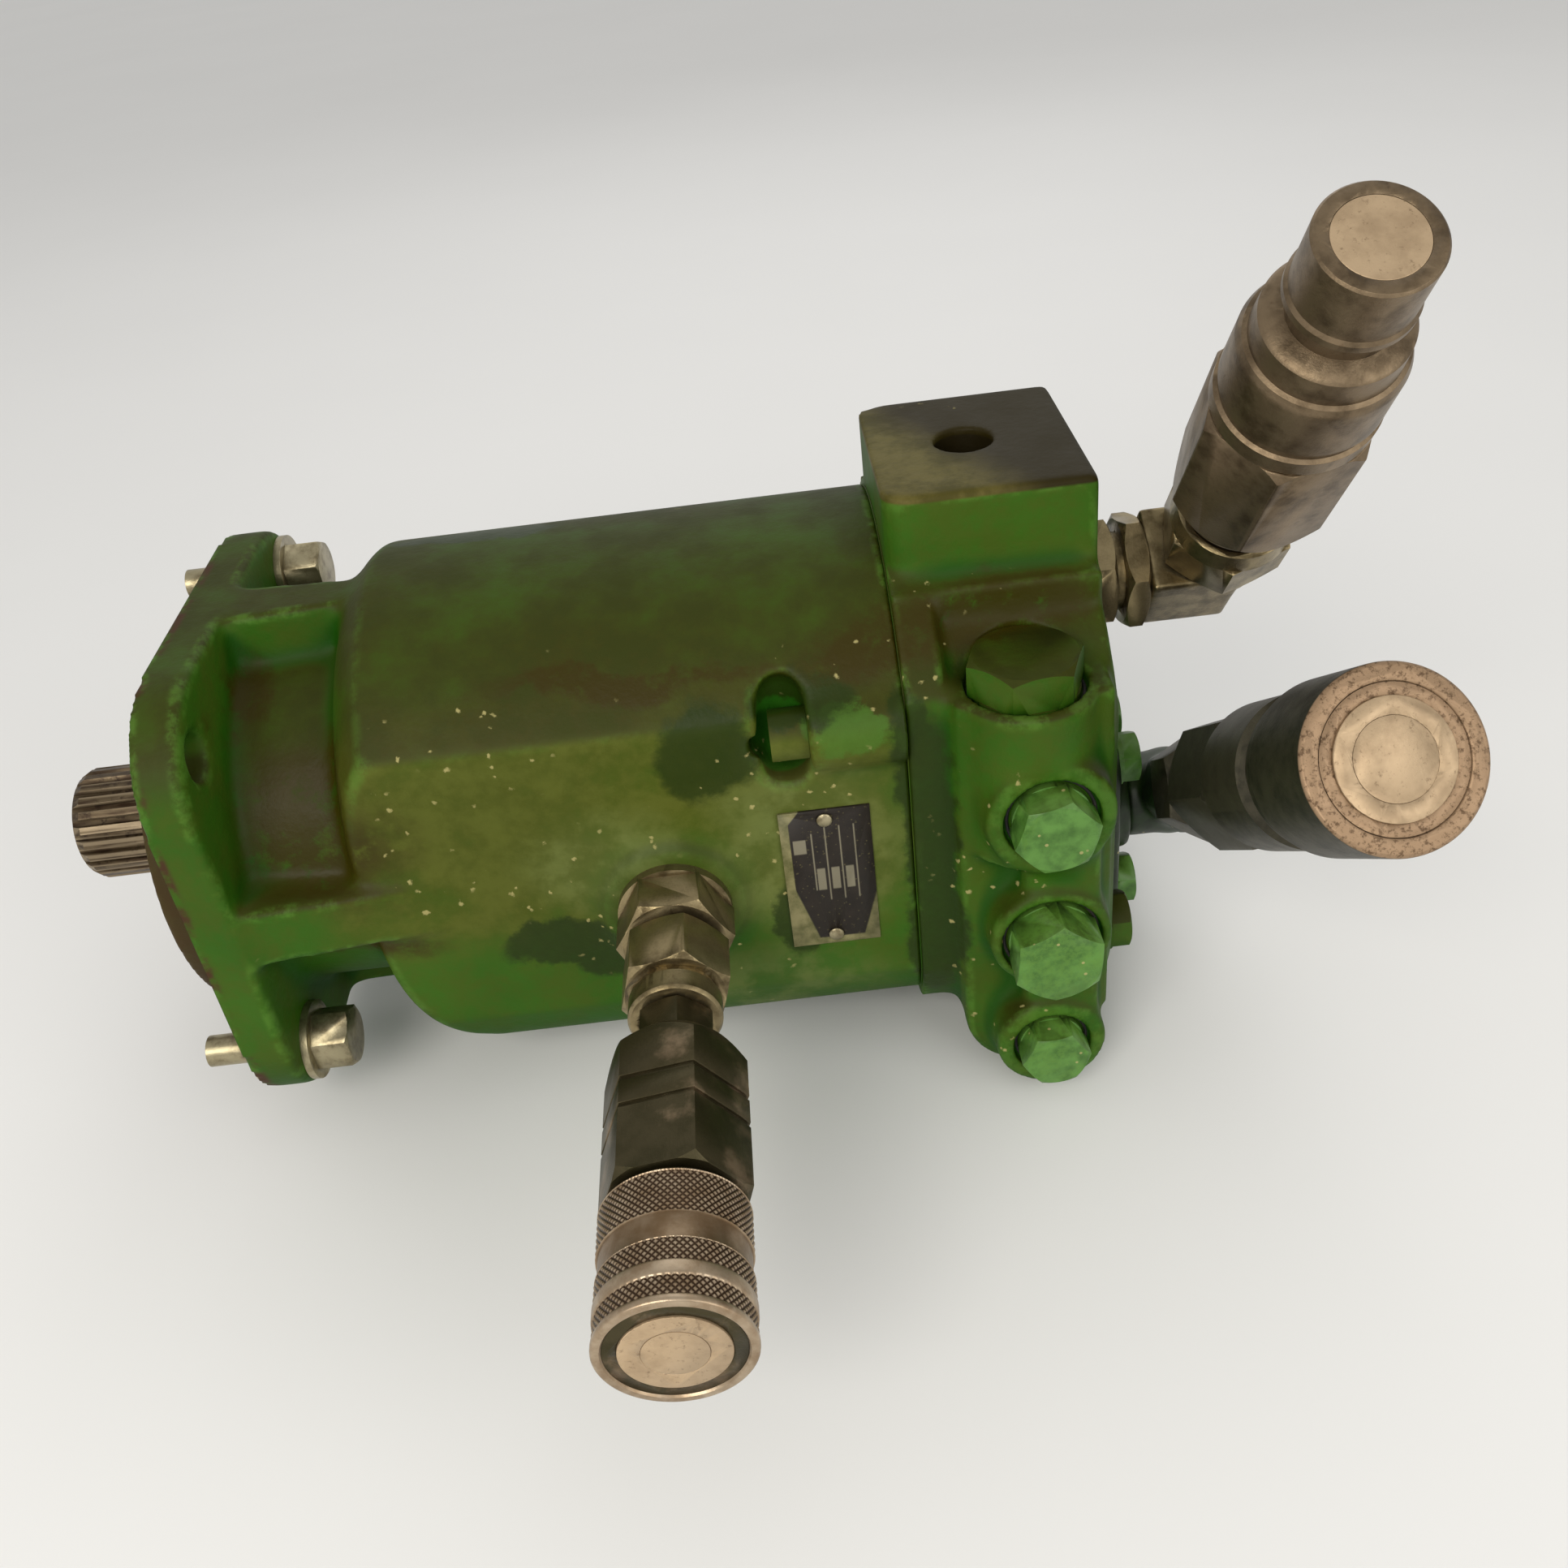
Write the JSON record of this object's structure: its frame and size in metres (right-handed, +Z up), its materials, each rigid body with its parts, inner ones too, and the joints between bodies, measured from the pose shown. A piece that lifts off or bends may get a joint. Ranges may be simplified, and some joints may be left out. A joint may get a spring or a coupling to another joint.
{
  "type": "hydraulic motor",
  "caption": "Axial-piston hydraulic motor with a square flange, splined shaft, ported end cap and three flat-face quick couplers",
  "frame": {"origin": "centre of the mounting face (the plane the pilot stands on), on the shaft axis", "axes": "+X along the shaft axis from the flange to the end cap (the shaft points along -X), +Z up through the port block, -Y towards the case drain coupler"},
  "size_m": [0.4079, 0.2995, 0.2766],
  "materials": {
    "green_paint": "semi-gloss enamel over rough casting, oil-stained",
    "bright_green_paint": "semi-gloss enamel",
    "dark_green_paint": "dark enamel, oily",
    "painted_gasket": "enamel over the joint",
    "rubber": "matt",
    "black_steel": "black oxide",
    "shaft_steel": "machined, oily with light rust",
    "bearing_steel": "ground",
    "machined_steel": "machined",
    "bronze": "machined",
    "nameplate_black": "black printed with bare edges",
    "bright_zinc": "zinc plated",
    "fitting_zinc": "zinc plated, oily",
    "coupler_steel": "plated, worn and oily",
    "knurled_steel": "plated, knurled",
    "face_steel": "turned, worn",
    "dark_coupler_steel": "dark plated, oily"
  },
  "bodies": {
    "root": {"housing": "green_paint", "end_cap": "green_paint", "cap_gasket": "painted_gasket", "cap_screws": "green_paint", "front_bearing_outer_race": "bearing_steel", "rear_bearing_shell": "bearing_steel", "seal_carrier": "machined_steel", "shaft_seal": "rubber", "retaining_ring": "black_steel", "swashplate": "machined_steel", "valve_plate": "bronze", "shuttle_spring": "black_steel", "relief_spring": "black_steel", "top_plug": "green_paint", "gauge_plug": "bright_green_paint", "shuttle_plug": "bright_green_paint", "relief_plug": "bright_green_paint", "plug_seals": "rubber", "rear_drain_plug": "green_paint", "nameplate": "nameplate_black", "nameplate_pins": "bright_zinc", "flange_bolts": "bright_zinc", "flange_washers": "bright_zinc", "drain_adapter": "fitting_zinc", "drain_swivel_nut": "fitting_zinc", "drain_coupler_body": "coupler_steel", "drain_probe": "face_steel", "drain_springs": "black_steel", "return_adapter": "fitting_zinc", "return_elbow": "fitting_zinc", "return_swivel_nut": "fitting_zinc", "return_coupler_body": "coupler_steel", "return_spring": "black_steel", "pressure_flange": "dark_green_paint", "pressure_flange_screws": "bright_green_paint", "pressure_elbow": "dark_green_paint", "pressure_coupler_body": "dark_coupler_steel", "pressure_probe": "face_steel", "pressure_springs": "black_steel"},
    "rotor": {"drive_shaft": "shaft_steel", "front_bearing_inner_race": "bearing_steel", "cylinder_block": "machined_steel", "pistons": "bearing_steel", "ball_guide": "machined_steel", "block_spring": "black_steel"},
    "slipper_plate": {"slippers": "bronze", "slipper_retainer": "machined_steel"},
    "front_roller_set": {"front_bearing_rollers": "bearing_steel"},
    "rear_needle_set": {"rear_bearing_needles": "bearing_steel"},
    "shuttle": {"shuttle_spool": "bearing_steel"},
    "relief_valve": {"relief_poppet": "bearing_steel"},
    "drain_sleeve_body": {"drain_sleeve": "knurled_steel"},
    "drain_ring_body": {"drain_valve_ring": "face_steel"},
    "return_valve": {"return_poppet": "face_steel"},
    "pressure_sleeve_body": {"pressure_sleeve": "dark_coupler_steel"},
    "pressure_ring_body": {"pressure_valve_ring": "face_steel"}
  },
  "joints": [
    {"name": "shaft_spin", "type": "hinge", "parent": "root", "child": "rotor", "pos_m": [0, 0, 0], "axis": [1, 0, 0], "continuous": true, "deforming": ["pistons"]},
    {"name": "slipper_spin", "type": "hinge", "parent": "root", "child": "slipper_plate", "pos_m": [0.104, 0, 0], "axis": [0.9563, 0, 0.2924], "continuous": true},
    {"name": "front_rollers_orbit", "type": "hinge", "parent": "root", "child": "front_roller_set", "pos_m": [0, 0, 0], "axis": [1, 0, 0], "continuous": true},
    {"name": "rear_needles_orbit", "type": "hinge", "parent": "root", "child": "rear_needle_set", "pos_m": [0, 0, 0], "axis": [1, 0, 0], "continuous": true},
    {"name": "shuttle_shift", "type": "slide", "parent": "root", "child": "shuttle", "axis": [0, 1, 0], "range_m": [-0.004, 0.004], "stiffness_N_per_m": 3000, "deforming": ["shuttle_spring"]},
    {"name": "relief_lift", "type": "slide", "parent": "root", "child": "relief_valve", "axis": [0, -1, 0], "range_m": [0, 0.004], "stiffness_N_per_m": 4000, "springref_m": -0.003, "deforming": ["relief_spring"]},
    {"name": "drain_sleeve_pull", "type": "slide", "parent": "root", "child": "drain_sleeve_body", "axis": [0, 1, 0], "range_m": [0, 0.0028], "stiffness_N_per_m": 2500, "springref_m": -0.006},
    {"name": "drain_ring_push", "type": "slide", "parent": "root", "child": "drain_ring_body", "axis": [0, 1, 0], "range_m": [0, 0.007], "stiffness_N_per_m": 2000, "springref_m": -0.006, "deforming": ["drain_springs"]},
    {"name": "return_poppet_push", "type": "slide", "parent": "root", "child": "return_valve", "axis": [0, 0.6115, -0.7912], "range_m": [0, 0.007], "stiffness_N_per_m": 2000, "springref_m": -0.006, "deforming": ["return_spring"]},
    {"name": "pressure_sleeve_pull", "type": "slide", "parent": "root", "child": "pressure_sleeve_body", "axis": [-0.0842, 0.7878, -0.6101], "range_m": [0, 0.0055], "stiffness_N_per_m": 3000, "springref_m": -0.006},
    {"name": "pressure_ring_push", "type": "slide", "parent": "root", "child": "pressure_ring_body", "axis": [-0.0842, 0.7878, -0.6101], "range_m": [0, 0.007], "stiffness_N_per_m": 2500, "springref_m": -0.006, "deforming": ["pressure_springs"]}
  ],
  "couplings": [
    {"joint": "slipper_spin", "follows": "shaft_spin", "ratio": 1},
    {"joint": "front_rollers_orbit", "follows": "shaft_spin", "ratio": 0.446},
    {"joint": "rear_needles_orbit", "follows": "shaft_spin", "ratio": 0.453}
  ]
}
